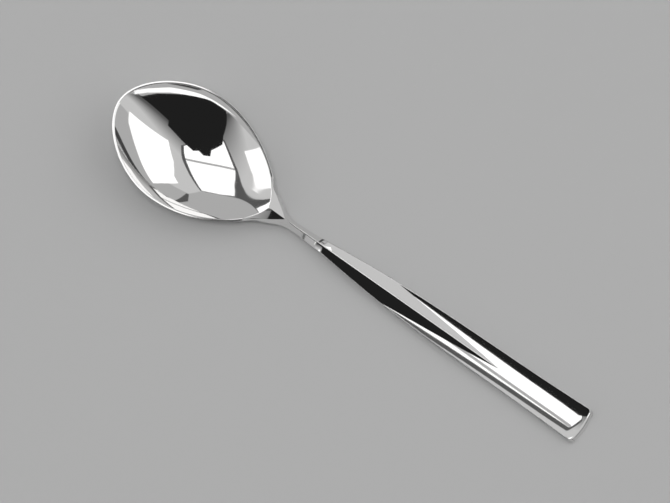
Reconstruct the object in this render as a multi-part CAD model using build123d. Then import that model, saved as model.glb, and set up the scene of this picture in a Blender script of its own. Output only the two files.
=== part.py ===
from build123d import *
import os
from math import cos, exp, pi, radians, sqrt, tan

# Soup spoon in millimetres: a forged bowl with its neck and a round tang, and a solid handle that is
# brazed over the tang. +X runs from the bowl's tip to the handle's end, +Z is up, and the spoon lies on
# Z = 0 on its belly and foot. Stations along X are worked out from the tip, and the finished spoon is
# then centred over the origin.

# Bowl, an egg in plan
BOWL_WIDTH = 44.3
TIP_LENGTH = 29.0
HEEL_LENGTH = 36.5
TIP_SHARPNESS = 0.3
HEEL_SHARPNESS = 0.5
HOLLOW_DEPTH = 9.6
BELLY_WALL = 1.8
RIM_LAND = 0.85
RIM_TILT = 8.0

# Land behind the bowl, which falls from a low ridge, its steep facets, and the shoulder below it
LAND_LENGTH = 6.0
LAND_ANGLE = 33.5
LAND_FALL = 9.0
FALL_RUN = 12.0
FACET_ANGLE = 50.0
SHOULDER_LENGTH = 14.0
HEEL_DEPTH = 5.2

# Neck
APEX_WIDTH = 4.6
NECK_LENGTH = 16.5
WAIST_RUN = 5.0
WAIST_WIDTH = 3.6
NECK_DEPTH = 4.4
SIDE_WALL = 0.5

# Brazed joint
JOINT_WIDTH = 4.8
JOINT_DEPTH = 4.15
JOINT_FACET_ANGLE = 26.0
TANG_DIAMETER = 2.2
TANG_LENGTH = 14.0
BRAZE_GAP = 0.05

# Handle; the places along it are shares of its length
HANDLE_LENGTH = 112.0
FACET_FADE = 6.0
ROOF_ANGLE = 13.2
ROOF_SHARE = 0.22
ROOF_WIDTH = 9.2
ROOF_DEPTH = 3.65
RIDGE_SHARE = 0.67
RIDGE_END_WIDTH = 12.0
END_WIDTH = 13.6
EDGE_THICKNESS = 2.6
EDGE_WALL = 1.1
DISH_DEPTH = 0.65
WAVE_START_SHARE = 0.11
WAVE_END_SHARE = 0.89
WAVE_RISE = 0.7
FOOT_SINK = 0.25
LIP_LENGTH = 8.0
LIP_DEPTH = 0.02
END_RADIUS = 45.0
END_SLANT = 2.0
END_EDGE = 0.7

# Places that the smooth skins pass through: on the bowl from its widest place, the outermost past the rim,
# and on the shoulder back from the land's point
SKIN_SHARES = (1.06, 0.8, 0.4)
SHOULDER_SHARES = (1.45, 1.0, 0.62, 0.31)

# Room that the cutting shapes reach past what they cut
SPARE = 3.0
HIGH = 24.0

# Stations from the tip, and places along the handle from the joint
APEX = TIP_LENGTH + HEEL_LENGTH + LAND_LENGTH
JOINT = APEX + NECK_LENGTH
END = JOINT + HANDLE_LENGTH
ROOF_RUN = ROOF_SHARE * HANDLE_LENGTH
RIDGE_RUN = RIDGE_SHARE * HANDLE_LENGTH
WAVE_START = WAVE_START_SHARE * HANDLE_LENGTH
WAVE_END = WAVE_END_SHARE * HANDLE_LENGTH


def slope(angle):
    return tan(radians(angle))


def across(x):
    """Plane square to the spoon at a station: local x is Y and local y is Z."""
    return Plane(origin=(x, 0, 0), x_dir=(0, 1, 0), z_dir=(1, 0, 0))


def egg(x, half_width, front, back):
    """Square of the egg's half width, x from its widest place; below zero past its ends."""
    reach, sharpness = (back, HEEL_SHARPNESS) if x > 0 else (front, TIP_SHARPNESS)
    share = (x / reach) ** 2
    return half_width**2 * (1 - share) * (1 - sharpness * share)


def turned_bowl(half_width, front, back, depth):
    """Bowl form turned about a lengthwise axis above the rim, so that it cuts the rim plane in an egg."""
    axis_height = (half_width**2 - depth**2) / (2 * depth)
    stations = [-front * s for s in SKIN_SHARES] + [0.0] + [back * s for s in reversed(SKIN_SHARES)]
    skin = [(x, axis_height + sqrt(axis_height**2 + egg(x, half_width, front, back))) for x in stations]
    ends = Polyline(skin[-1], (skin[-1][0], axis_height), (skin[0][0], axis_height), skin[0])
    return revolve(Plane.XZ * make_face(Spline(*skin) + ends), Axis((0, 0, axis_height), (1, 0, 0)))


# The bowl's own frame has its origin in the rim plane at the widest place
bowl_half = BOWL_WIDTH / 2
belly = turned_bowl(bowl_half, TIP_LENGTH, HEEL_LENGTH, HOLLOW_DEPTH + BELLY_WALL)
hollow = turned_bowl(bowl_half - RIM_LAND, TIP_LENGTH - RIM_LAND, HEEL_LENGTH - RIM_LAND, HOLLOW_DEPTH)
rim_height = -(Rot(0, RIM_TILT, 0) * belly).bounding_box().min.Z
bowl_place = Pos(TIP_LENGTH, 0, rim_height) * Rot(0, RIM_TILT, 0)


def rim_z(x):
    """Height of the rim plane on the spoon's middle line."""
    return rim_height - (x - TIP_LENGTH) * slope(RIM_TILT)


def edge_z(run):
    """Height of the handle's upper edges, which sink in one wave towards the end."""
    share = min(max((run - WAVE_START) / (WAVE_END - WAVE_START), 0), 1)
    return EDGE_THICKNESS + WAVE_RISE * (1 + cos(pi * share)) / 2


def ridge_z(x):
    """Height of the straight ridge, from the land's point down into the dish."""
    low = edge_z(RIDGE_RUN) - DISH_DEPTH
    return rim_z(APEX) + (low - rim_z(APEX)) * (x - APEX) / (JOINT + RIDGE_RUN - APEX)


def facet_angle(run):
    """Fall of the handle's facets, steeper at the joint."""
    return ROOF_ANGLE + (JOINT_FACET_ANGLE - ROOF_ANGLE) * exp(-run / FACET_FADE)


def body_section(x, half, side, under, flare=0.0):
    """Section of the neck or handle before its top is cut; flare draws its underside in to a keel."""
    flank = under + (side - under) * flare
    # The curve's middle is 6/16 of its middle point, 4/16 of each flank and 1/16 of each end
    keel = (16 * under - 8 * flank - 2 * side) / 6
    skin = Bezier((half, side), (half / 2, flank), (0, keel), (-half / 2, flank), (-half, side))
    top = Polyline((-half, side), (-half, HIGH), (half, HIGH), (half, side))
    return across(x) * make_face(skin + top)


def roof_section(x, ridge, angle, half):
    """Section under two facets that fall from a ridge."""
    eave = ridge - half * slope(angle)
    deep = -2 * HIGH
    corners = [(0, ridge), (half, eave), (half, deep), (-half, deep), (-half, eave)]
    return across(x) * make_face(Polyline(*corners, close=True))


def dish_section(run, depth):
    """Section under the handle's hollow upper face, an arc through the edges of the handle's end."""
    half = END_WIDTH / 2
    wide = half + SPARE
    floor = edge_z(run) - depth
    brim = floor + depth * (wide / half) ** 2
    arc = ThreePointArc((-wide, brim), (0, floor), (wide, brim))
    walls = Polyline((wide, brim), (wide, -HIGH), (-wide, -HIGH), (-wide, brim))
    return across(JOINT + run) * make_face(arc + walls)


def shoulder_and_neck():
    """Body from inside the bowl's wall to the joint, cut to its land and facets."""
    sections = []
    for share in SHOULDER_SHARES:
        back = share * SHOULDER_LENGTH
        x = APEX - back
        show = APEX_WIDTH / 2 * (1 - share)
        half = min(back, SHOULDER_LENGTH) * slope(LAND_ANGLE) + show
        side = rim_z(x) - show * slope(FACET_ANGLE) - SIDE_WALL * (1 - share)
        depth = NECK_DEPTH + (HEEL_DEPTH - NECK_DEPTH) * share
        sections.append(body_section(x, half, side, rim_z(x) - depth, flare=min(1, sqrt(share))))
    waist_angle = (2 * FACET_ANGLE + JOINT_FACET_ANGLE) / 3
    stops = [
        (APEX, APEX_WIDTH, NECK_DEPTH, FACET_ANGLE),
        (APEX + WAIST_RUN, WAIST_WIDTH, NECK_DEPTH, waist_angle),
        (JOINT, JOINT_WIDTH, JOINT_DEPTH, JOINT_FACET_ANGLE),
    ]
    stops.insert(2, tuple((a + b) / 2 for a, b in zip(stops[1], stops[2])))
    # One more stop past the joint, where it is cut off, keeps the skin even up to the joint
    stops.append(tuple(2 * b - a for a, b in zip(stops[2], stops[3])))
    facets = []
    wide = SHOULDER_LENGTH * slope(LAND_ANGLE) + SPARE
    for x, width, depth, angle in stops:
        half = width / 2
        eave = ridge_z(x) - half * slope(angle)
        sections.append(body_section(x, half, eave - SIDE_WALL, ridge_z(x) - depth))
        facets.append(roof_section(x, ridge_z(x), angle, wide))
    start = APEX - SHOULDER_SHARES[0] * SHOULDER_LENGTH - SPARE
    rise = (APEX - start) * slope(LAND_ANGLE) * slope(FACET_ANGLE)
    land = loft([roof_section(start, rim_z(start) + rise, FACET_ANGLE, wide), facets[0]], ruled=True)
    return loft(sections) & (land + loft(facets))


# Round tang along the middle of the joint, sloping with the ridge
tang_slope = (ridge_z(JOINT + TANG_LENGTH) - ridge_z(JOINT)) / TANG_LENGTH
tang_start = Plane(
    origin=(JOINT, 0, ridge_z(JOINT) - JOINT_DEPTH / 2),
    x_dir=(0, 1, 0),
    z_dir=(1, 0, tang_slope),
)


def tang(radius, length):
    """Round bar from inside the neck, standing out of the joint by its length."""
    return extrude(tang_start * Circle(radius), length) + extrude(tang_start * Circle(radius), -SPARE)


def bowl_top():
    """Room under the rim plane, which bends down to both sides of a ridge as it becomes the land."""
    tops = [roof_section(x, rim_z(x), 0, BOWL_WIDTH) for x in (-SPARE, APEX - FALL_RUN)]
    tops.append(roof_section(APEX, rim_z(APEX), LAND_FALL, BOWL_WIDTH))
    neck_room = Pos(APEX + NECK_LENGTH / 2, 0, 0) * Box(NECK_LENGTH, BOWL_WIDTH, 2 * HIGH)
    return loft(tops, ruled=True) + neck_room


def make_bowl():
    body = (bowl_place * belly) + shoulder_and_neck()
    body = (body & bowl_top()) - (bowl_place * hollow)
    return body + tang(TANG_DIAMETER / 2, TANG_LENGTH)


def end_cut():
    """What is taken off past the end face, which slants outwards and is round in plan."""
    upright = END_RADIUS - END_EDGE
    top = END_RADIUS - END_SLANT * (HIGH / 2 - END_EDGE) / (EDGE_THICKNESS - END_EDGE)
    below = Polyline((0, -SPARE), (upright, -SPARE), (upright, 0))
    edge = RadiusArc((upright, 0), (END_RADIUS, END_EDGE), -END_EDGE)
    face = Polyline((END_RADIUS, END_EDGE), (top, HIGH / 2), (0, HIGH / 2), (0, -SPARE))
    kept = revolve(Plane.XZ * make_face(below + edge + face), Axis.Z)
    block = Pos(END, 0, 0) * Box(2 * LIP_LENGTH, 2 * END_WIDTH, HIGH)
    return block - Pos(END - END_RADIUS, 0, 0) * kept


def handle_blank():
    """Handle before its top is cut."""
    sections = []
    for run, width, depth, wall in (
        (0.0, JOINT_WIDTH, JOINT_DEPTH, SIDE_WALL),
        (ROOF_RUN, ROOF_WIDTH, ROOF_DEPTH, EDGE_WALL),
    ):
        x = JOINT + run
        eave = ridge_z(x) - width / 2 * slope(facet_angle(run))
        sections.append(body_section(x, width / 2, eave - wall, ridge_z(x) - depth))
    for run, width in (
        (RIDGE_RUN, RIDGE_END_WIDTH),
        (WAVE_END, (RIDGE_END_WIDTH + END_WIDTH) / 2),
        (HANDLE_LENGTH + SPARE, END_WIDTH),
    ):
        edge = edge_z(run)
        under = edge - EDGE_THICKNESS - FOOT_SINK
        sections.append(body_section(JOINT + run, width / 2, edge - EDGE_WALL, under))
    return loft(sections)


def handle_top():
    """Room under the ridge's facets and under the dish that the ridge sinks into."""
    facets = []
    for run in (0.0, FACET_FADE, 2 * FACET_FADE, 3 * FACET_FADE, 4 * FACET_FADE):
        facets.append(roof_section(JOINT + run, ridge_z(JOINT + run), facet_angle(run), END_WIDTH))
    point = JOINT + RIDGE_RUN + SPARE
    last = roof_section(point, ridge_z(point), ROOF_ANGLE, END_WIDTH)
    roof = loft(facets) + loft([facets[-1], last], ruled=True)
    dish = loft([
        dish_section(WAVE_START, DISH_DEPTH),
        dish_section((WAVE_START + RIDGE_RUN) / 2, DISH_DEPTH),
        dish_section(RIDGE_RUN, DISH_DEPTH),
        dish_section(HANDLE_LENGTH - LIP_LENGTH, DISH_DEPTH),
        dish_section(HANDLE_LENGTH + SPARE, LIP_DEPTH),
    ])
    return roof + dish


def make_handle():
    above_table = Pos(END / 2, 0, HIGH) * Box(2 * END, 2 * BOWL_WIDTH, 2 * HIGH)
    socket = tang(TANG_DIAMETER / 2 + BRAZE_GAP, TANG_LENGTH + BRAZE_GAP)
    return (handle_blank() & handle_top() & above_table) - end_cut() - socket


bowl = make_bowl()
handle = make_handle()
whole = Compound([bowl, handle]).bounding_box()
centre = Pos(-whole.center().X, 0, 0)

os.makedirs("parts", exist_ok=True)
export_step(centre * bowl, "parts/bowl.step")
export_step(centre * handle, "parts/handle.step")
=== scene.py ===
from math import cos, pi, radians, sin

import bpy
import numpy as np
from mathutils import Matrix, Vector


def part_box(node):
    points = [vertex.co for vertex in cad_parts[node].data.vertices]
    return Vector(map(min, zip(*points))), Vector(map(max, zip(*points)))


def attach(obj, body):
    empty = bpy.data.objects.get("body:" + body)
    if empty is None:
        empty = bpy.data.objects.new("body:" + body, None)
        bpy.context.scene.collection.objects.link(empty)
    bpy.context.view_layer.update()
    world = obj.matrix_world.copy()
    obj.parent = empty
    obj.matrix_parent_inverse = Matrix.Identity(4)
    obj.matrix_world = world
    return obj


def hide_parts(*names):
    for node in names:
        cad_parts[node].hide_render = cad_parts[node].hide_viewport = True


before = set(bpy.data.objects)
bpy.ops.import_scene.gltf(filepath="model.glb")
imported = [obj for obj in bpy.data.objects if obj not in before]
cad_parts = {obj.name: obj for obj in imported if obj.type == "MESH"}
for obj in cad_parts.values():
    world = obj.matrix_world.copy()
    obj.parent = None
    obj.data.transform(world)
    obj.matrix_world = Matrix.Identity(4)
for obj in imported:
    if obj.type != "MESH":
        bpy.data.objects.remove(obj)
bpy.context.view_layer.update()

# Looks for a mirror-polished soup spoon. Shapes are worked out in millimetres from the same sizes as the
# solids, with stations from the tip, as dense smooth skins: flat facets would break up the reflections.
MM = 0.001

# Bowl
BOWL_WIDTH = 44.3
TIP_LENGTH = 29.0
HEEL_LENGTH = 36.5
TIP_SHARPNESS = 0.3
HEEL_SHARPNESS = 0.5
HOLLOW_DEPTH = 9.6
BELLY_WALL = 1.8
RIM_LAND = 0.85
RIM_TILT = 8.0

# Land, shoulder and neck
LAND_LENGTH = 6.0
LAND_ANGLE = 33.5
LAND_FALL = 9.0
FALL_RUN = 12.0
FACET_ANGLE = 50.0
SHOULDER_LENGTH = 14.0
SHOULDER_SHARES = (1.45, 1.0, 0.62, 0.31)
HEEL_DEPTH = 5.2
APEX_WIDTH = 4.6
NECK_LENGTH = 16.5
WAIST_RUN = 5.0
WAIST_WIDTH = 3.6
NECK_DEPTH = 4.4
SIDE_WALL = 0.5

# Joint and handle
JOINT_WIDTH = 4.8
JOINT_DEPTH = 4.15
JOINT_FACET_ANGLE = 26.0
HANDLE_LENGTH = 112.0
FACET_FADE = 6.0
ROOF_ANGLE = 13.2
ROOF_RUN = 0.22 * HANDLE_LENGTH
ROOF_WIDTH = 9.2
ROOF_DEPTH = 3.65
RIDGE_RUN = 0.67 * HANDLE_LENGTH
RIDGE_END_WIDTH = 12.0
END_WIDTH = 13.6
EDGE_THICKNESS = 2.6
EDGE_WALL = 1.1
DISH_DEPTH = 0.65
WAVE_START = 0.11 * HANDLE_LENGTH
WAVE_END = 0.89 * HANDLE_LENGTH
WAVE_RISE = 0.7
FOOT_SINK = 0.25
END_RADIUS = 45.0
END_SLANT = 2.0
END_SPARE = 3.0

# Softened edges and blends, left to the looks
RIM_SOFT = 0.2
EDGE_SOFT = 0.3
RIDGE_SOFT = 0.3
OUTLINE_BLEND = 2.5
KEEL_BLEND = 1.0
NECK_HOLD = 6
END_CORNER = 1.2
ROLL_LENGTH = 3.0
ROLL_DROP = 0.2
END_BULGE = 0.08
END_TOP_TILT = 22.0
END_LOW_TILT = 80.0
END_TOP_LEVEL = 1.0
END_LOW_LEVEL = 0.3
END_MORPH = 25.0

# How finely the skins are divided
RING_STEPS = 161
HOLLOW_STEPS = 81
HOLLOW_CROWDING = 0.8
BELLY_STEPS = 61
LAND_STEPS = 9
FACET_STEPS = 9
NECK_STEPS = 61
HANDLE_STEPS = 281
DISH_STEPS = 15
CORNER_STEPS = 9
HALF_STEPS = 13
SOFT_STEPS = 5
WALL_STEPS = 3
FAN_STEPS = 2
WELD_DIGITS = 4

# How curves and slopes are found
NUDGE = 0.01
TINY = 1e-12
TILT_ROUNDS = 12
FALL_ROUNDS = 6
EGG_CAP = 1.2
OUTSIDE_RISE = 3

# Stations along the spoon, and the rim's tilt
APEX = TIP_LENGTH + HEEL_LENGTH + LAND_LENGTH
JOINT = APEX + NECK_LENGTH
END = JOINT + HANDLE_LENGTH
SHOULDER = APEX - SHOULDER_SHARES[0] * SHOULDER_LENGTH
RIDGE_END = JOINT + RIDGE_RUN
TILT_COS = cos(radians(RIM_TILT))
TILT_SIN = sin(radians(RIM_TILT))

# The solids say where the joint and the rim lie in the shared frame
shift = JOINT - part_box("handle")[0][0] / MM
rim_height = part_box("bowl")[1][2] / MM - TIP_LENGTH * TILT_SIN


def slope(angle):
    return np.tan(np.radians(angle))


def rim_z(x):
    """Height of the rim plane on the spoon's middle line."""
    return rim_height - (x - TIP_LENGTH) * slope(RIM_TILT)


def egg(x, half, front, back):
    """Square of the egg's half width, x from its widest place; below zero just past its ends."""
    reach = np.where(x > 0, back, front)
    sharpness = np.where(x > 0, HEEL_SHARPNESS, TIP_SHARPNESS)
    share = np.minimum((x / reach) ** 2, EGG_CAP)
    return half**2 * (1 - share) * (1 - sharpness * share)


def turned_z(x, y, inset, depth):
    """Height of a turned bowl form, inset from the bowl's outline and tilted with the rim."""
    half = BOWL_WIDTH / 2 - inset
    axis = (half**2 - depth**2) / (2 * depth)
    fall = np.zeros(np.broadcast(x, y).shape)
    # The tilt moves low points along the spoon, so their place is found step by step
    for _ in range(TILT_ROUNDS):
        along = (x - TIP_LENGTH - fall * TILT_SIN) / TILT_COS
        square = axis**2 + egg(along, half, TIP_LENGTH - inset, HEEL_LENGTH - inset) - y**2
        fall = axis - np.sqrt(np.maximum(square, NUDGE))
    return rim_height - along * TILT_SIN + fall * TILT_COS


def hollow_z(x, y):
    return turned_z(x, y, RIM_LAND, HOLLOW_DEPTH)


def smooth_through(xs, ys):
    """Natural cubic curve through a few points."""
    xs = np.array(xs, float)
    ys = np.array(ys, float)
    h = np.diff(xs)
    count = len(xs)
    system = np.eye(count)
    known = np.zeros(count)
    for i in range(1, count - 1):
        system[i, i - 1] = h[i - 1]
        system[i, i] = 2 * (h[i - 1] + h[i])
        system[i, i + 1] = h[i]
        known[i] = 6 * ((ys[i + 1] - ys[i]) / h[i] - (ys[i] - ys[i - 1]) / h[i - 1])
    bend = np.linalg.solve(system, known)

    def curve(x):
        i = np.clip(np.searchsorted(xs, x) - 1, 0, count - 2)
        a = (xs[i + 1] - x) / h[i]
        b = (x - xs[i]) / h[i]
        straight = a * ys[i] + b * ys[i + 1]
        return straight + ((a**3 - a) * bend[i] + (b**3 - b) * bend[i + 1]) * h[i] ** 2 / 6

    return curve


def edge_z(x):
    """Height of the handle's upper edges."""
    share = np.clip((x - JOINT - WAVE_START) / (WAVE_END - WAVE_START), 0, 1)
    return EDGE_THICKNESS + WAVE_RISE * (1 + np.cos(pi * share)) / 2


ridge_low = edge_z(RIDGE_END) - DISH_DEPTH


def ridge_z(x):
    """Height of the ridge, which falls straight from the land's apex into the dish."""
    return rim_z(APEX) + (ridge_low - rim_z(APEX)) * (x - APEX) / (RIDGE_END - APEX)


def facet_angle(x):
    """Fall of the facets beside the land and the ridge, held along the neck until near the joint."""
    turned = np.clip((x - APEX) / NECK_LENGTH, 0, 1) ** NECK_HOLD
    neck = FACET_ANGLE + (JOINT_FACET_ANGLE - FACET_ANGLE) * turned
    fade = np.exp(-np.maximum(x - JOINT, 0) / FACET_FADE)
    handle = ROOF_ANGLE + (JOINT_FACET_ANGLE - ROOF_ANGLE) * fade
    return np.where(x < JOINT, neck, handle)


def land_fall(x):
    """Slope at which the land falls to both sides of its low ridge."""
    return slope(LAND_FALL) * np.clip((x - APEX) / FALL_RUN + 1, 0, 1)


def top_z(x, y):
    """Height of the rim, and of the land that it becomes."""
    return rim_z(x) - land_fall(x) * np.abs(y)


def brim_half(x, inset, depth):
    """Half width at which a turned bowl form meets the rim and the land."""
    half = BOWL_WIDTH / 2 - inset
    axis = (half**2 - depth**2) / (2 * depth)
    fall = land_fall(x) * TILT_COS
    y = np.zeros_like(x)
    # Where the land falls, the form is met lower down and a little further along
    for _ in range(FALL_ROUNDS):
        along = (x - TIP_LENGTH) / TILT_COS + land_fall(x) * y * TILT_SIN
        square = np.maximum(egg(along, half, TIP_LENGTH - inset, HEEL_LENGTH - inset), 0)
        y = (np.sqrt((axis * fall) ** 2 + (1 + fall**2) * square) - axis * fall) / (1 + fall**2)
    return y


def egg_half(x):
    """Half width of the bowl's outline in plan."""
    return brim_half(x, 0.0, HOLLOW_DEPTH + BELLY_WALL)


def land_half(x):
    """Half width of the rim, and of the land as far as its steep facets."""
    steep = slope(FACET_ANGLE)
    land = np.maximum(APEX - x, 0) * slope(LAND_ANGLE) * steep / (steep - land_fall(x))
    return np.where(x < APEX, np.maximum(land, egg_half(x)), 0.0)


def roof_z(x, y):
    """Height of the land, of the facets beside it and of those beside the ridge."""
    flat = land_half(x)
    wide = np.abs(y)
    top = np.where(x < APEX, top_z(x, np.minimum(wide, flat)), ridge_z(x))
    return top - np.maximum(wide - flat, 0) * slope(facet_angle(x))


def shoulder_show(share):
    """Width of the shoulder's facet in plan."""
    return APEX_WIDTH / 2 * (1 - share)


def shoulder_half(share):
    return min(share, 1.0) * SHOULDER_LENGTH * slope(LAND_ANGLE) + shoulder_show(share)


def shoulder_side(share):
    """Height of the lower edge of the shoulder's side, counted from the rim plane."""
    return -shoulder_show(share) * slope(FACET_ANGLE) - SIDE_WALL * (1 - share)


# Sections of the shoulder and neck: stations, half widths, side heights and keel heights
shoulder_stops = [APEX - s * SHOULDER_LENGTH for s in SHOULDER_SHARES]
neck_stops = [APEX, APEX + WAIST_RUN, (APEX + WAIST_RUN + JOINT) / 2, JOINT]
neck_widths = (APEX_WIDTH, WAIST_WIDTH, (WAIST_WIDTH + JOINT_WIDTH) / 2, JOINT_WIDTH)
neck_halves = [w / 2 for w in neck_widths]
neck_depths = (NECK_DEPTH, NECK_DEPTH, (NECK_DEPTH + JOINT_DEPTH) / 2, JOINT_DEPTH)
body_x = shoulder_stops + neck_stops
body_half = smooth_through(body_x, [shoulder_half(s) for s in SHOULDER_SHARES] + neck_halves)
body_side = smooth_through(
    body_x,
    [rim_z(x) + shoulder_side(s) for x, s in zip(shoulder_stops, SHOULDER_SHARES)]
    + [float(roof_z(np.array(x), h)) - SIDE_WALL for x, h in zip(neck_stops, neck_halves)],
)
heel_swell = HEEL_DEPTH - NECK_DEPTH
body_under = smooth_through(
    body_x,
    [rim_z(x) - NECK_DEPTH - heel_swell * s for x, s in zip(shoulder_stops, SHOULDER_SHARES)]
    + [ridge_z(x) - d for x, d in zip(neck_stops, neck_depths)],
)

# The same for the handle
handle_x = [JOINT, JOINT + ROOF_RUN, RIDGE_END, JOINT + WAVE_END, END + END_SPARE]
near_end_width = (RIDGE_END_WIDTH + END_WIDTH) / 2
handle_widths = (JOINT_WIDTH, ROOF_WIDTH, RIDGE_END_WIDTH, near_end_width, END_WIDTH)
handle_half = smooth_through(handle_x, [w / 2 for w in handle_widths])
roof_eave = float(roof_z(np.array(JOINT + ROOF_RUN), ROOF_WIDTH / 2))
joint_eave = float(roof_z(np.array(JOINT), JOINT_WIDTH / 2))
foot_edges = [float(edge_z(x)) for x in handle_x[2:]]
handle_side = smooth_through(
    handle_x,
    [joint_eave - SIDE_WALL, roof_eave - EDGE_WALL] + [e - EDGE_WALL for e in foot_edges],
)
handle_under = smooth_through(
    handle_x,
    [ridge_z(JOINT) - JOINT_DEPTH, ridge_z(JOINT + ROOF_RUN) - ROOF_DEPTH]
    + [e - EDGE_THICKNESS - FOOT_SINK for e in foot_edges],
)


def skin_z(y, half, side, under, flare):
    """Underside across a section, a quartic from side to side; flare draws it in to a keel."""
    flank = under + (side - under) * flare
    # The middle control point puts the middle of the curve at the underside's height
    keel = (16 * under - 8 * flank - 2 * side) / 6
    t = np.clip((1 - y / half) / 2, 0, 1)
    s = 1 - t
    past = np.maximum(np.abs(y) - half, 0)
    curve = (s**4 + t**4) * side + 4 * (s**3 * t + s * t**3) * flank + 6 * s**2 * t**2 * keel
    return curve + OUTSIDE_RISE * past


def outer_half(x):
    """Half width of the bowl, shoulder and neck in plan, blended where they cross."""
    bowl = egg_half(x)
    body = np.where(x > SHOULDER, body_half(np.maximum(x, SHOULDER)), 0.0)
    near = np.maximum(OUTLINE_BLEND - np.abs(bowl - body), 0)
    return np.maximum(bowl, body) + near**2 / (4 * OUTLINE_BLEND)


def bowl_under_z(x, y):
    """Underside of the bowl, with the shoulder's keel blended into the belly."""
    bowl = egg_half(x)
    drawn = y * bowl / np.maximum(outer_half(x), NUDGE)
    belly = turned_z(x, drawn, 0.0, HOLLOW_DEPTH + BELLY_WALL)
    belly = np.where(bowl > 0, belly, rim_z(x))
    share = np.clip((APEX - x) / SHOULDER_LENGTH, 0, 1)
    inside = np.maximum(x, SHOULDER)
    keel = skin_z(y, body_half(inside), body_side(inside), body_under(inside), np.sqrt(share))
    keel = keel + OUTSIDE_RISE * np.maximum(SHOULDER - x, 0)
    near = np.maximum(KEEL_BLEND - np.abs(belly - keel), 0)
    return np.minimum(belly, keel) - near**2 / (4 * KEEL_BLEND)


def handle_under_z(x, y):
    return np.maximum(skin_z(y, handle_half(x), handle_side(x), handle_under(x), 0.0), 0.0)


def crease_half(x):
    """Half width of the ridge's wedge, where its facets sink into the dish."""
    curve = DISH_DEPTH * (2 / END_WIDTH) ** 2
    fall = slope(facet_angle(x))
    above = np.maximum(ridge_z(x) - edge_z(x) + DISH_DEPTH, 0)
    return (np.sqrt(fall**2 + 4 * curve * above) - fall) / (2 * curve)


def end_x(y, level):
    """Station of the end face, which is round in plan and slants outwards to its lower edge."""
    return END - END_RADIUS + np.sqrt(END_RADIUS**2 - y**2) - END_SLANT * level


def dish_z(x, y):
    """Height of the dish, which rolls over just before the end face."""
    share = np.clip(1 - (end_x(y, END_TOP_LEVEL) - x) / ROLL_LENGTH, 0, 1)
    return edge_z(x) - DISH_DEPTH * (1 - (2 * y / END_WIDTH) ** 2) - ROLL_DROP * share**2


def crest_z(x):
    """Height of the ridge, and of the dish where the ridge has sunk into it."""
    return np.maximum(ridge_z(x), dish_z(x, 0.0))


def drawn_to_end(x, y, level):
    """Draws stations near the end out to the end face."""
    share = np.clip((x - (END - END_MORPH)) / END_MORPH, 0, 1)
    return x + share * (end_x(y, level) - END)


def unit(n):
    return n / np.maximum(np.linalg.norm(n, axis=-1, keepdims=True), TINY)


def lines(x, y, z):
    return np.stack(np.broadcast_arrays(x, y, z), axis=-1)


def facing(surface, x, y, up=1):
    """Unit normals of a surface given as heights."""
    along = (surface(x + NUDGE, y) - surface(x - NUDGE, y)) / (2 * NUDGE)
    over = (surface(x, y + NUDGE) - surface(x, y - NUDGE)) / (2 * NUDGE)
    return unit(lines(-along, -over, np.ones_like(along)) * up)


def facing_beside(surface, x, y, line=0.0):
    """Unit normals beside a crease, taken just clear of it."""
    return facing(surface, x, np.maximum(y, line + 2 * NUDGE))


def soft_edge(start, corner, end, start_n, end_n):
    """Rounded strip between two surfaces that meet at a corner line."""
    t = np.linspace(0, 1, SOFT_STEPS)[None, :, None]
    points = (1 - t) ** 2 * start[:, None] + 2 * t * (1 - t) * corner[:, None] + t**2 * end[:, None]
    return points, unit((1 - t) * start_n[:, None] + t * end_n[:, None])


def strip(start, end, start_n, end_n, steps=WALL_STEPS):
    """Straight strip between two lines."""
    t = np.linspace(0, 1, steps)[None, :, None]
    points = (1 - t) * start[:, None] + t * end[:, None]
    return points, unit((1 - t) * start_n[:, None] + t * end_n[:, None])


def ridge_patch(x, soft, crest, side_n):
    """Right half of a softened ridge, which meets the facet at the soft width."""
    t = np.linspace(0, 1, SOFT_STEPS)[None, :]
    y = soft[:, None] * t
    fall = slope(facet_angle(x))[:, None]
    z = crest(x)[:, None] - fall * soft[:, None] * (1 + t**2) / 2
    up = unit(side_n * np.array([1.0, 0.0, 1.0]))
    t = t[..., None]
    return lines(x[:, None], y, z), unit((1 - t) * up[:, None] + t * side_n[:, None])


def end_face(edges, way):
    """Face that closes an end, fanned out from its middle."""
    rim = np.concatenate(edges)
    middle = np.broadcast_to((rim[0] + rim[-1]) / 2, rim.shape)
    face_n = np.broadcast_to(unit(np.array(way)), rim.shape)
    return strip(rim, middle, face_n, face_n, FAN_STEPS)


def grid_quads(rows, columns, base, points, normals):
    """Faces of one patch, turned to agree with its normals."""
    index = base + np.arange(rows * columns).reshape(rows, columns)
    corners = [index[:-1, :-1], index[1:, :-1], index[1:, 1:], index[:-1, 1:]]
    quads = np.stack(corners, axis=-1).reshape(-1, 4)
    a, b, c, d = (points[quads[:, i]] for i in range(4))
    face = np.cross(c - a, d - b)
    if np.sum(face * normals[quads].sum(axis=1)) < 0:
        quads = quads[:, ::-1]
    return quads


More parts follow.
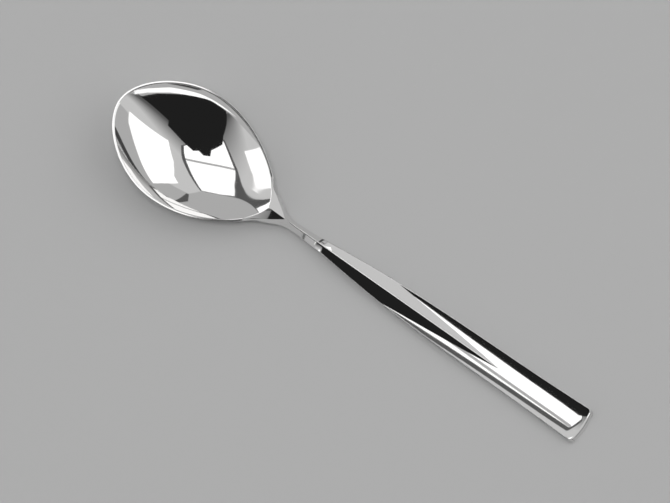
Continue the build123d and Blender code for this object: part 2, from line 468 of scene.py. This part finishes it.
def make_piece(name, patches):
    """One welded mesh from patches, which keep their own normals at shared edges."""
    points = np.concatenate([p.reshape(-1, 3) for p, _ in patches])
    normals = np.concatenate([n.reshape(-1, 3) for _, n in patches])
    quads = []
    base = 0
    for p, _ in patches:
        rows, columns = p.shape[:2]
        quads.extend(grid_quads(rows, columns, base, points, normals))
        base += rows * columns
    rounded = np.round(points, WELD_DIGITS)
    _, first, welded = np.unique(rounded, axis=0, return_index=True, return_inverse=True)
    welded = welded.reshape(-1)
    faces = []
    corner_normals = []
    for quad in quads:
        kept = []
        for i in quad:
            if welded[i] not in [welded[k] for k in kept]:
                kept.append(i)
        if len(kept) > 2:
            faces.append([int(welded[k]) for k in kept])
            corner_normals.extend(normals[k] for k in kept)
    place = np.array([shift, 0, 0])
    mesh = bpy.data.meshes.new(name)
    mesh.from_pydata(((points[first] - place) * MM).tolist(), [], faces)
    mesh.polygons.foreach_set("use_smooth", [True] * len(mesh.polygons))
    mesh.normals_split_custom_set([tuple(n) for n in corner_normals])
    mesh.update()
    piece = bpy.data.objects.new(name, mesh)
    bpy.context.scene.collection.objects.link(piece)
    return piece


def both_sides(patches):
    """Patches of the right side, and their mirror images on the left."""
    flip = np.array([1.0, -1.0, 1.0])
    return patches + [(p * flip, n * flip) for p, n in patches]


# Places along the bowl, from -1 at its front end to 1 at its back end, closer together near both
ring_along = -np.cos(np.linspace(0, pi, RING_STEPS))


def ring(inset):
    """Plan of the hollow's edge, or of a line beside it, from the tip to the heel."""
    reach = np.where(ring_along > 0, HEEL_LENGTH, TIP_LENGTH) - inset
    x = TIP_LENGTH + ring_along * reach * TILT_COS
    y = brim_half(x, inset, HOLLOW_DEPTH)
    y[[0, -1]] = 0.0
    return x, y


def between(from_x, from_y, to_x, to_y, steps):
    """Plan grid between two lines."""
    t = np.linspace(0, 1, steps)
    x = from_x[:, None] * (1 - t) + to_x[:, None] * t
    return x, from_y[:, None] * (1 - t) + to_y[:, None] * t


def outward(x, y):
    """Outward directions in plan along an outline, square to the spoon on the neck."""
    along = np.gradient(x)
    over = np.gradient(y)
    over = over * np.clip((APEX - x) / LAND_LENGTH, 0, 1)
    away = unit(lines(-over, along, np.zeros_like(x)))
    away[0] = (-1.0, 0.0, 0.0)
    return away


def bowl_patches():
    """Right half of the bowl, land and neck."""
    # Hollow, and its softened edge
    low_x, low_y = ring(RIM_LAND + RIM_SOFT)
    share = np.linspace(0, 1, HOLLOW_STEPS) ** HOLLOW_CROWDING
    hollow_x = TIP_LENGTH + (low_x[:, None] - TIP_LENGTH) * share
    hollow_y = low_y[:, None] * share
    hollow = lines(hollow_x, hollow_y, hollow_z(hollow_x, hollow_y))
    hollow_n = facing(hollow_z, hollow_x, hollow_y)
    inner_x, inner_y = ring(RIM_LAND)
    flat_x, flat_y = ring(RIM_LAND - RIM_SOFT)
    inner = lines(inner_x, inner_y, top_z(inner_x, inner_y))
    flat = lines(flat_x, flat_y, top_z(flat_x, flat_y))
    flat_n = facing_beside(top_z, flat_x, flat_y)
    hollow_edge = soft_edge(hollow[:, -1], inner, flat, hollow_n[:, -1], flat_n)

    # Outline from the tip to the joint, its softened edge, and the line that the facets start from
    apex_row = RING_STEPS - 1
    reach = np.where(ring_along > 0, APEX - TIP_LENGTH, TIP_LENGTH * TILT_COS)
    neck_x = np.linspace(APEX, JOINT, NECK_STEPS)
    out_x = np.concatenate([TIP_LENGTH + ring_along * reach, neck_x[1:]])
    out_y = outer_half(out_x)
    out_y[0] = 0.0
    away = outward(out_x, out_y)
    edge_x = out_x - RIM_SOFT * away[:, 0]
    edge_y = out_y - RIM_SOFT * away[:, 1]
    ridge_soft = RIDGE_SOFT * np.clip((out_x - APEX) / WAIST_RUN, 0, 1)
    crease_y = np.minimum(np.maximum(land_half(edge_x), ridge_soft), edge_y)
    crease_y[apex_row] = 0.0

    # Rim and land
    top_x, top_y = between(flat_x, flat_y, edge_x[:RING_STEPS], crease_y[:RING_STEPS], LAND_STEPS)
    top = lines(top_x, top_y, top_z(top_x, top_y))
    top_n = facing_beside(top_z, top_x, top_y)

    # Facets beside the land and the neck's ridge, and the softened ridge
    facet_x, facet_y = between(edge_x, crease_y, edge_x, edge_y, FACET_STEPS)
    facets = lines(facet_x, facet_y, roof_z(facet_x, facet_y))
    facet_n = facing_beside(roof_z, facet_x, facet_y, crease_y[:, None])
    neck = slice(apex_row, None)
    ridge = ridge_patch(out_x[neck], ridge_soft[neck], ridge_z, facet_n[neck][:, 0])

    # Softened outer edge, and the side walls of the shoulder and neck
    under_x = out_x - RIM_SOFT / 2 * away[:, 0]
    under_y = out_y - RIM_SOFT / 2 * away[:, 1]
    out_z = roof_z(out_x, out_y)
    low_z = np.minimum(bowl_under_z(under_x, under_y), out_z - RIM_SOFT / 2)
    wall_z = np.maximum(low_z, out_z - RIM_SOFT)
    under_n = facing(bowl_under_z, under_x, under_y, -1)
    walled = np.clip((wall_z - low_z) / RIM_SOFT, 0, 1)[:, None]
    wall_n = unit(under_n * (1 - walled) + away * walled)
    faceted = (edge_y - crease_y > NUDGE)[:, None]
    rim_n = np.concatenate([top_n[:, -1], facet_n[RING_STEPS:, -1]])
    rim_n = np.where(faceted, facet_n[:, -1], rim_n)
    corner = lines(out_x, out_y, out_z)
    wall_top = lines(under_x, under_y, wall_z)
    below = lines(under_x, under_y, low_z)
    outer_edge = soft_edge(facets[:, -1], corner, wall_top, rim_n, wall_n)
    wall = strip(wall_top, below, wall_n, wall_n)

    # Underside of the bowl and shoulder, out from the middle of the belly
    cut = np.linspace(1, 0, HALF_STEPS)
    ring_x = np.concatenate([under_x[:RING_STEPS], np.full(HALF_STEPS - 1, under_x[apex_row])])
    ring_y = np.concatenate([under_y[:RING_STEPS], under_y[apex_row] * cut[1:]])
    share = np.linspace(0, 1, BELLY_STEPS)
    belly_x = TIP_LENGTH + (ring_x[:, None] - TIP_LENGTH) * share
    belly_y = ring_y[:, None] * share
    belly_z = np.minimum(bowl_under_z(belly_x, belly_y), rim_z(belly_x))
    belly = lines(belly_x, belly_y, belly_z)
    belly[:RING_STEPS, -1] = below[:RING_STEPS]
    belly_n = facing(bowl_under_z, belly_x, belly_y, -1)

    # Underside of the neck, and the face at the joint
    keel_y = under_y[neck][:, None] * cut
    keel_x = np.broadcast_to(under_x[neck][:, None], keel_y.shape)
    keel = lines(keel_x, keel_y, bowl_under_z(keel_x, keel_y))
    keel[:, 0] = below[neck]
    keel_n = facing(bowl_under_z, keel_x, keel_y, -1)
    around = [p[-1] for p in (ridge[0], facets, outer_edge[0], wall[0], keel)]
    joint_face = end_face(around, (1.0, 0.0, 0.0))
    return [
        (hollow, hollow_n), hollow_edge, (top, top_n), (facets, facet_n), ridge, outer_edge, wall,
        (belly, belly_n), (keel, keel_n), joint_face,
    ]


def handle_patches():
    """Right half of the handle."""
    turn = np.linspace(0, pi / 2, CORNER_STEPS)[1:]
    straight_x = np.linspace(JOINT, END - END_CORNER, HANDLE_STEPS)
    x = np.concatenate([straight_x, END - END_CORNER * (1 - np.sin(turn))])
    half = handle_half(x)
    half[HANDLE_STEPS:] -= END_CORNER * (1 - np.cos(turn))
    inner = half - EDGE_SOFT
    crease = np.minimum(crease_half(x), inner)
    ridge_soft = np.minimum(RIDGE_SOFT, crease / 2)

    def over(low, high, columns):
        """Plan grid between two lines along the handle, drawn out to the end face."""
        t = np.linspace(0, 1, columns)[None, :]
        y = low[:, None] + (high - low)[:, None] * t
        return drawn_to_end(x[:, None], y, END_TOP_LEVEL), y

    # Facets beside the ridge, which run on without width in the dish, and the softened ridge
    sunk = crease <= 0
    roof_x, roof_y = over(ridge_soft, crease, FACET_STEPS)
    facet_z = np.where(sunk[:, None], dish_z(roof_x, roof_y), roof_z(roof_x, roof_y))
    facets = lines(roof_x, roof_y, facet_z)
    roof_n = facing_beside(roof_z, roof_x, roof_y)
    facet_n = np.where(sunk[:, None, None], facing(dish_z, roof_x, roof_y), roof_n)
    on_ridge = ~sunk
    # The softened ridge ends in a point, in the first row past it
    on_ridge[np.argmin(on_ridge)] = True
    ridge = ridge_patch(x[on_ridge], ridge_soft[on_ridge], crest_z, facet_n[on_ridge][:, 0])

    # Dish beside the facets
    dish_x, dish_y = over(crease, inner, DISH_STEPS)
    dish = lines(dish_x, dish_y, np.maximum(roof_z(dish_x, dish_y), dish_z(dish_x, dish_y)))
    all_roof = (crease >= inner)[:, None, None]
    dish_n = np.where(all_roof, facet_n[:, -1:], facing(dish_z, dish_x, dish_y))

    # Softened edge and side wall
    edge_x = drawn_to_end(x, half, END_TOP_LEVEL)
    corner_z = np.maximum(roof_z(edge_x, half), dish_z(edge_x, half))
    drift = np.gradient(half, x)
    side_n = unit(lines(-drift, np.ones_like(drift), np.zeros_like(drift)))
    corner = lines(edge_x, half, corner_z)
    below = lines(edge_x, half, corner_z - EDGE_SOFT)
    edge = soft_edge(dish[:, -1], corner, below, dish_n[:, -1], side_n)
    side_low = lines(drawn_to_end(x, half, END_LOW_LEVEL), half, handle_under_z(x, half))
    wall = strip(below, side_low, side_n, side_n)

    # Underside, with as many columns as the end face
    high = np.concatenate([dish[-1], edge[0][-1], wall[0][-1]])
    t = high[::-1, 1][None, :] / half[-1]
    under_y = half[:, None] * t
    wide_x = np.broadcast_to(x[:, None], under_y.shape)
    under_x = drawn_to_end(wide_x, under_y, END_LOW_LEVEL * t)
    under = lines(under_x, under_y, handle_under_z(wide_x, under_y))
    under_n = facing(handle_under_z, wide_x, under_y, -1)

    # Face at the joint
    around = [p[0] for p in (ridge[0], facets, dish, edge[0], wall[0], under)]
    joint_face = end_face(around, (-1.0, 0.0, 0.0))

    # End face, slightly swollen between its upper and lower edges
    low = under[-1][::-1]
    t = np.linspace(0, 1, HALF_STEPS)[None, :, None]
    tilt = np.radians(END_TOP_TILT + (END_LOW_TILT - END_TOP_TILT) * t[..., 0])
    turn = np.arcsin(high[:, 1:2] / END_RADIUS)
    end_n = lines(np.sin(tilt) * np.cos(turn), np.sin(tilt) * np.sin(turn), np.cos(tilt))
    bulge = 4 * END_BULGE * t * (1 - t) * np.linalg.norm(high - low, axis=1)[:, None, None]
    end = (1 - t) * high[:, None] + t * low[:, None] + bulge * end_n
    return [
        (facets, facet_n), ridge, (dish, dish_n), edge, wall, (under, under_n), joint_face, (end, end_n),
    ]


# Polished steel, with noise counted in waves a metre
STEEL_COLOUR = (0.86, 0.855, 0.85, 1.0)
WIPE_SCALE = 90.0
WIPE_DETAIL = 3.0
LEAST_ROUGH = 0.02
MOST_ROUGH = 0.06
SCRATCH_SCALE = (60.0, 2500.0, 2500.0)
SCRATCH_DETAIL = 2.0
SCRATCH_STRENGTH = 0.02
SCRATCH_DEPTH = 0.00002

# Matt grey of the table top
TABLE_GREY = 0.43
MATT_ROUGHNESS = 0.9
MATT_SHINE = 0.1


def principled(material):
    return next(n for n in material.node_tree.nodes if n.type == "BSDF_PRINCIPLED")


def noise(nodes, scale, detail):
    node = nodes.new("ShaderNodeTexNoise")
    node.inputs["Scale"].default_value = scale
    node.inputs["Detail"].default_value = detail
    return node


def steel():
    """Polished steel, with faint wipe marks in its roughness and fine lengthwise scratches."""
    material = bpy.data.materials.new("polished_steel")
    material.use_nodes = True
    nodes = material.node_tree.nodes
    links = material.node_tree.links
    shader = principled(material)
    shader.inputs["Base Color"].default_value = STEEL_COLOUR
    shader.inputs["Metallic"].default_value = 1.0
    where = nodes.new("ShaderNodeTexCoord")
    stretch = nodes.new("ShaderNodeMapping")
    stretch.inputs["Scale"].default_value = SCRATCH_SCALE
    links.new(where.outputs["Object"], stretch.inputs["Vector"])
    scratch = noise(nodes, 1.0, SCRATCH_DETAIL)
    links.new(stretch.outputs["Vector"], scratch.inputs["Vector"])
    wipe = noise(nodes, WIPE_SCALE, WIPE_DETAIL)
    links.new(where.outputs["Object"], wipe.inputs["Vector"])
    rough = nodes.new("ShaderNodeMapRange")
    rough.inputs["To Min"].default_value = LEAST_ROUGH
    rough.inputs["To Max"].default_value = MOST_ROUGH
    links.new(wipe.outputs["Fac"], rough.inputs["Value"])
    links.new(rough.outputs["Result"], shader.inputs["Roughness"])
    bump = nodes.new("ShaderNodeBump")
    bump.inputs["Strength"].default_value = SCRATCH_STRENGTH
    bump.inputs["Distance"].default_value = SCRATCH_DEPTH
    links.new(scratch.outputs["Fac"], bump.inputs["Height"])
    links.new(bump.outputs["Normal"], shader.inputs["Normal"])
    return material


def plain(name, grey):
    """Matt grey with hardly any shine."""
    material = bpy.data.materials.new(name)
    material.use_nodes = True
    shader = principled(material)
    shader.inputs["Base Color"].default_value = (grey, grey, grey, 1.0)
    shader.inputs["Roughness"].default_value = MATT_ROUGHNESS
    shader.inputs["Specular IOR Level"].default_value = MATT_SHINE
    return material


metal = steel()
for node, patches in (("bowl", bowl_patches()), ("handle", handle_patches())):
    piece = make_piece(node + "_skin", both_sides(patches))
    piece.data.materials.append(metal)
    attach(piece, "root")
    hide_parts(node)

# Camera
AZIMUTH = 35.15
ELEVATION = 79.0
DISTANCE = 1.1358
LENS = 173.8
SENSOR_WIDTH = 36.0
CLIP_START = 0.01
CLIP_END = 100.0
AIM = Vector((-0.0076, 0.0006, 0.006))
turn = radians(AZIMUTH)
lift = radians(ELEVATION)
picture_right = Vector((cos(turn), sin(turn), 0))
picture_up = Vector((-sin(turn), cos(turn), 0))
back = Vector((0, 0, sin(lift))) - picture_up * cos(lift)
camera_data = bpy.data.cameras.new("camera")
camera_data.lens = LENS
camera_data.sensor_width = SENSOR_WIDTH
camera_data.clip_start = CLIP_START
camera_data.clip_end = CLIP_END
camera = bpy.data.objects.new("camera", camera_data)
camera.location = AIM + back * DISTANCE
camera.rotation_mode = "QUATERNION"
camera.rotation_quaternion = (-back).to_track_quat("-Z", "Y")
bpy.context.scene.collection.objects.link(camera)
bpy.context.scene.camera = camera

# Table top
TABLE_SIZE = 24.0
bpy.ops.mesh.primitive_plane_add(size=TABLE_SIZE, location=(0, 0, 0))
table = bpy.context.object
table.name = "table"
table.data.materials.append(plain("table_grey", TABLE_GREY))

# Studio: cards far above the spoon. Their corners are counted in heights of the cards, to the right and
# up in the picture.
CARD_HEIGHT = 4.0
LAYER = 0.02
SQUARE = ((-1, -1), (1, -1), (1, 1), (-1, 1))
WHITE = 1.3
PALE = 0.62
GREY = 0.46
DARK = 0.1
BLACK = 0.015


def faded(nodes, links, level, direction, fade_range):
    """Strength that rises from dark to a level along a direction."""
    dark_at, light_at = fade_range
    where = nodes.new("ShaderNodeTexCoord")
    along = nodes.new("ShaderNodeVectorMath")
    along.operation = "DOT_PRODUCT"
    along.inputs[1].default_value = direction
    ramp = nodes.new("ShaderNodeMapRange")
    ramp.inputs["From Min"].default_value = dark_at
    ramp.inputs["From Max"].default_value = light_at
    ramp.inputs["To Min"].default_value = DARK
    ramp.inputs["To Max"].default_value = level
    links.new(where.outputs["Object"], along.inputs[0])
    links.new(along.outputs["Value"], ramp.inputs["Value"])
    return ramp.outputs["Result"]


def card(name, level, layer, corners, fade_way=None, fade_range=None):
    """Glowing card, which hides those of lower layers. A fade lights it up from dark along a direction."""
    height = CARD_HEIGHT - layer * LAYER
    over = Vector((0, 0, height))
    points = [over + (picture_right * u + picture_up * v) * height for u, v in corners]
    mesh = bpy.data.meshes.new(name)
    mesh.from_pydata([tuple(q) for q in points], [], [list(range(len(points)))])
    material = bpy.data.materials.new(name)
    material.use_nodes = True
    nodes = material.node_tree.nodes
    links = material.node_tree.links
    nodes.clear()
    glow = nodes.new("ShaderNodeEmission")
    out = nodes.new("ShaderNodeOutputMaterial")
    links.new(glow.outputs["Emission"], out.inputs["Surface"])
    glow.inputs["Strength"].default_value = level
    if fade_way:
        direction = (picture_right * fade_way[0] + picture_up * fade_way[1]) / height
        links.new(faded(nodes, links, level, direction, fade_range), glow.inputs["Strength"])
    mesh.materials.append(material)
    piece = bpy.data.objects.new(name, mesh)
    bpy.context.scene.collection.objects.link(piece)


# Grey surroundings and pale walls glow as painted light; the walls darken towards the black front as
# painted shade
CEILING_REACH = 9.0
card("ceiling", GREY, 0, [(u * CEILING_REACH, v * CEILING_REACH) for u, v in SQUARE])
card(
    "right_wall", PALE, 1,
    [(-0.1, -0.1), (1.5, -1.9), (2.4, -0.9), (1.0, 0.2), (1.0, 1.6), (0.55, 1.7), (0.17, 1.13),
     (-0.1, 0.9)],
    fade_way=(1.0, 1.0),
    fade_range=(-0.15, 0.45),
)
card(
    "left_wall", PALE, 1,
    [(-0.1, -0.1), (-0.1, 0.9), (-0.5, 0.6), (-0.9, 0.4), (-3.4, -1.2), (-2.6, -2.8)],
    fade_way=(-1.0, 1.0),
    fade_range=(0.0, 0.9),
)

# Large light box of two panes in a dark frame, with a grey bar between them
BAR_LOW_LEFT = (-0.58, 0.13)
BAR_LOW_RIGHT = (0.19, 0.215)
BAR_HIGH_LEFT = (-0.575, 0.17)
BAR_HIGH_RIGHT = (0.19, 0.26)
card(
    "box_frame", DARK, 2,
    [(-0.71, -0.45), (0.22, -0.05), (0.25, 0.28), (0.23, 0.6), (0.18, 1.12), (-0.14, 1.0), (-0.4, 0.83),
     (-0.63, 0.13)],
)
card("box_low", WHITE, 3, [(-0.66, -0.4), (0.16, -0.05), BAR_LOW_RIGHT, BAR_LOW_LEFT])
card("box_gap", GREY, 3, [BAR_LOW_LEFT, BAR_LOW_RIGHT, BAR_HIGH_RIGHT, BAR_HIGH_LEFT])
card(
    "box_high", WHITE, 3,
    [BAR_HIGH_LEFT, BAR_HIGH_RIGHT, (0.18, 0.6), (0.15, 1.09), (-0.14, 0.98), (-0.31, 0.85), (-0.42, 0.5)],
)

# Light boxes to both sides, a low one in front, and grey beside that one, almost down to the horizon
card(
    "right_box", WHITE, 3,
    [(0.5, -0.11), (1.92, -0.72), (2.29, -0.25), (2.52, 0.98), (3.6, 4.4), (1.18, 1.77), (0.62, 1.2),
     (0.6, 0.9), (0.5, 0.62), (0.45, 0.4)],
)
card(
    "left_box", WHITE, 3,
    [(-1.18, -0.39), (-0.89, 0.09), (-0.61, 0.42), (-0.75, 0.5), (-1.6, 0.2), (-3.2, -0.3), (-3.2, -1.3)],
)
card(
    "front_box", WHITE, 3,
    [(1.6, -1.74), (1.27, -2.32), (0.47, -2.96), (-0.67, -3.1), (-3.67, -3.16), (-1.5, -5.0),
     (0.55, -5.0), (1.42, -3.06), (1.64, -2.13)],
)
card("front_floor", GREY, 2, [(-3.0, -3.0), (-100.0, -60.0), (-60.0, -140.0), (-1.5, -7.0)])

# Dark slits, and the black front
card("right_slit", DARK, 4, [(0.55, 1.72), (0.63, 1.78), (3.9, 9.0), (3.55, 9.0), (1.0, 3.2)])
card("left_slit", DARK, 4, [(-0.52, 0.48), (-0.43, 0.48), (-0.31, 0.86), (-0.4, 0.85)])
card(
    "black_front", BLACK, 4,
    [(1.41, -1.72), (0.93, -2.41), (-0.06, -2.95), (-1.84, -3.54), (-2.52, -2.79), (-1.27, -1.19),
     (-0.74, -0.55), (-0.59, -0.31), (-0.3, -0.1), (-0.24, 0.03), (-0.13, 0.05), (-0.08, -0.02),
     (0.015, 0.01), (0.2, -0.18), (0.48, -0.5), (0.46, -0.66)],
)

# Soft lamp that brings the light on matt surfaces to a plain level; the polished metal doesn't mirror it
LAMP_HEIGHT = 3.0
LAMP_SIZE = 1.0
LAMP_POWER = 34.0
LAMP_RIGHT = -0.05
LAMP_UP = -0.12
lamp_data = bpy.data.lights.new("soft_lamp", "AREA")
lamp_data.shape = "DISK"
lamp_data.size = LAMP_SIZE
lamp_data.energy = LAMP_POWER
lamp = bpy.data.objects.new("soft_lamp", lamp_data)
lamp_way = Vector((0, 0, 1)) + picture_right * LAMP_RIGHT + picture_up * LAMP_UP
lamp.location = lamp_way * LAMP_HEIGHT
lamp.rotation_mode = "QUATERNION"
lamp.rotation_quaternion = lamp.location.to_track_quat("Z", "Y")
lamp.visible_glossy = False
bpy.context.scene.collection.objects.link(lamp)

# Surroundings beyond the cards
LOW_GREY = 0.06
world = bpy.data.worlds.new("surroundings")
bpy.context.scene.world = world
world.use_nodes = True
background = world.node_tree.nodes["Background"]
background.inputs["Color"].default_value = (LOW_GREY, LOW_GREY, LOW_GREY, 1.0)
background.inputs["Strength"].default_value = 1.0

bpy.context.scene.view_settings.view_transform = "Standard"
